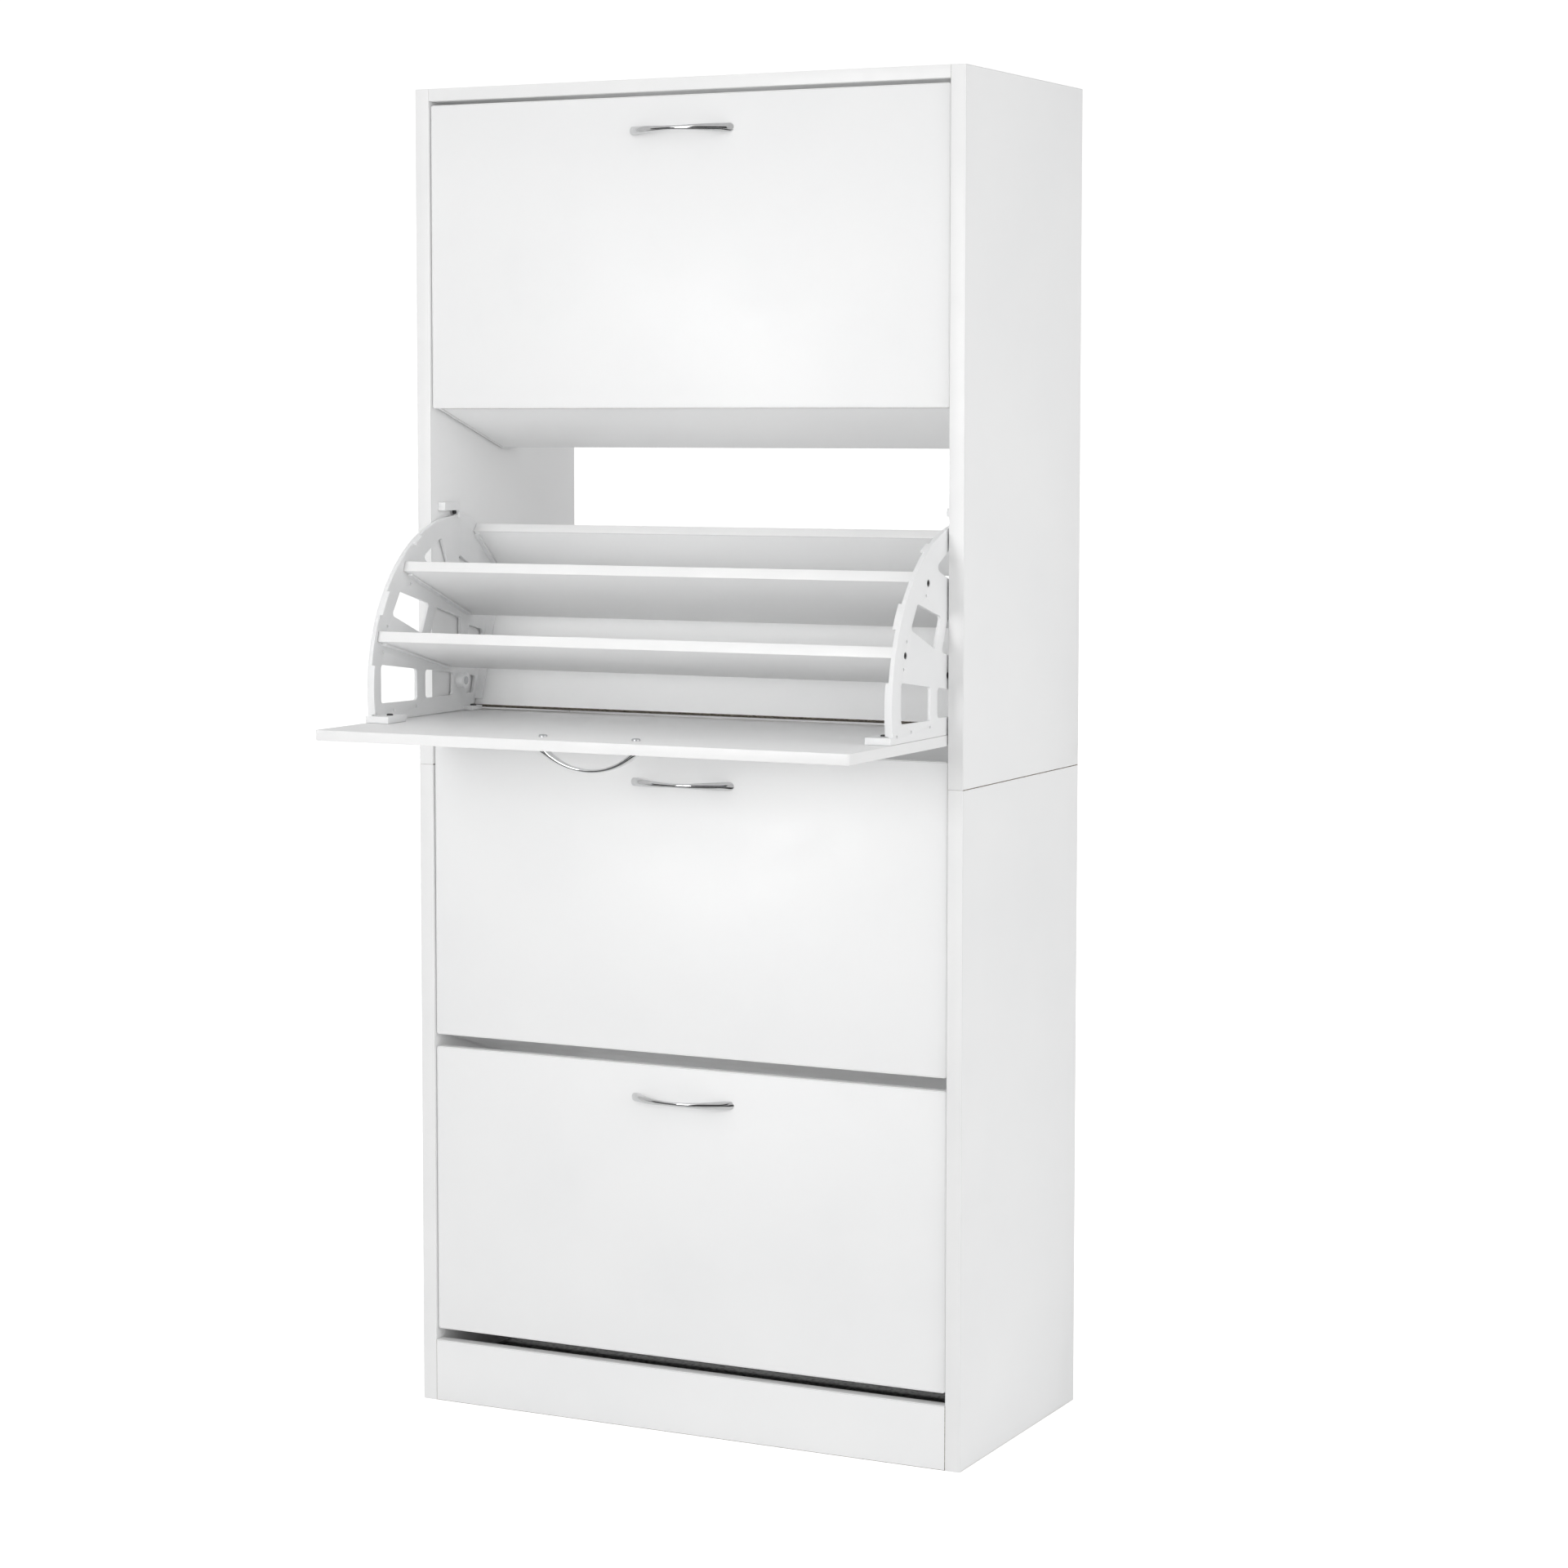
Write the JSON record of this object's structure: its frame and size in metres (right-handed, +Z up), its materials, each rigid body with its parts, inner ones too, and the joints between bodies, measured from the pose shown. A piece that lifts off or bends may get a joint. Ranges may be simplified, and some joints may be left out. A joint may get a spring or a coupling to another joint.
{
  "type": "shoe cabinet",
  "caption": "Tall narrow shoe cabinet with tip-out flaps whose plastic fan brackets carry sloping shoe shelves, shown with one flap open.",
  "frame": {"origin": "on the floor, under the middle of the whole object's box with its second flap open; the side panels' front edges are at y = -37.4 mm", "axes": "+X to the right of somebody facing the cabinet, +Y to the back, +Z up"},
  "size_m": [0.58, 0.4952, 1.29],
  "materials": {
    "white_board": "white melamine-faced chipboard, satin, with matching edge band",
    "raw_board": "unfaced chipboard",
    "beech": "plain beech",
    "white_plastic": "moulded white plastic, fine texture",
    "chrome": "polished chrome plate",
    "steel": "zinc-plated steel",
    "zinc": "die-cast zinc",
    "black_rubber": "soft black rubber"
  },
  "bodies": {
    "carcass": {"side_panel_left_lower": "white_board", "side_panel_left_upper": "white_board", "side_panel_right_lower": "white_board", "side_panel_right_upper": "white_board", "top_board": "white_board", "middle_board": "white_board", "bottom_board": "raw_board", "plinth": "white_board", "rear_rail_upper": "white_board", "rear_rail_middle": "white_board", "rear_rail_lower": "white_board", "dowels": "beech", "cam_bolts": "steel", "cam_discs": "zinc", "pivot_pins": "steel", "flap_stops": "white_plastic", "stop_pegs": "black_rubber"},
    "flap_1": {"flap_1_door": "white_board", "flap_1_handle": "chrome", "flap_1_handle_screws": "steel", "flap_1_bracket_left": "white_plastic", "flap_1_bracket_right": "white_plastic", "flap_1_shelf_front": "white_board", "flap_1_shelf_middle": "white_board", "flap_1_shelf_rear": "white_board", "flap_1_back_board": "white_board", "flap_1_bracket_screws": "steel"},
    "flap_2": {"flap_2_door": "white_board", "flap_2_handle": "chrome", "flap_2_handle_screws": "steel", "flap_2_bracket_left": "white_plastic", "flap_2_bracket_right": "white_plastic", "flap_2_shelf_front": "white_board", "flap_2_shelf_middle": "white_board", "flap_2_shelf_rear": "white_board", "flap_2_back_board": "white_board", "flap_2_bracket_screws": "steel"},
    "flap_3": {"flap_3_door": "white_board", "flap_3_handle": "chrome", "flap_3_handle_screws": "steel", "flap_3_bracket_left": "white_plastic", "flap_3_bracket_right": "white_plastic", "flap_3_shelf_front": "white_board", "flap_3_shelf_middle": "white_board", "flap_3_shelf_rear": "white_board", "flap_3_back_board": "white_board", "flap_3_bracket_screws": "steel"},
    "flap_4": {"flap_4_door": "white_board", "flap_4_handle": "chrome", "flap_4_handle_screws": "steel", "flap_4_bracket_left": "white_plastic", "flap_4_bracket_right": "white_plastic", "flap_4_shelf_front": "white_board", "flap_4_shelf_middle": "white_board", "flap_4_shelf_rear": "white_board", "flap_4_back_board": "white_board", "flap_4_bracket_screws": "steel"}
  },
  "joints": [
    {"name": "flap_1_tip", "type": "hinge", "parent": "carcass", "child": "flap_1", "pos_m": [0, 0.0054, 1.021], "axis": [1, 0, 0], "range_deg": [0, 90]},
    {"name": "flap_2_tip", "type": "hinge", "parent": "carcass", "child": "flap_2", "pos_m": [0, 0.0054, 0.7145], "axis": [1, 0, 0], "range_deg": [-90, 0]},
    {"name": "flap_3_tip", "type": "hinge", "parent": "carcass", "child": "flap_3", "pos_m": [0, 0.0054, 0.406], "axis": [1, 0, 0], "range_deg": [0, 90]},
    {"name": "flap_4_tip", "type": "hinge", "parent": "carcass", "child": "flap_4", "pos_m": [0, 0.0054, 0.111], "axis": [1, 0, 0], "range_deg": [0, 90]}
  ]
}
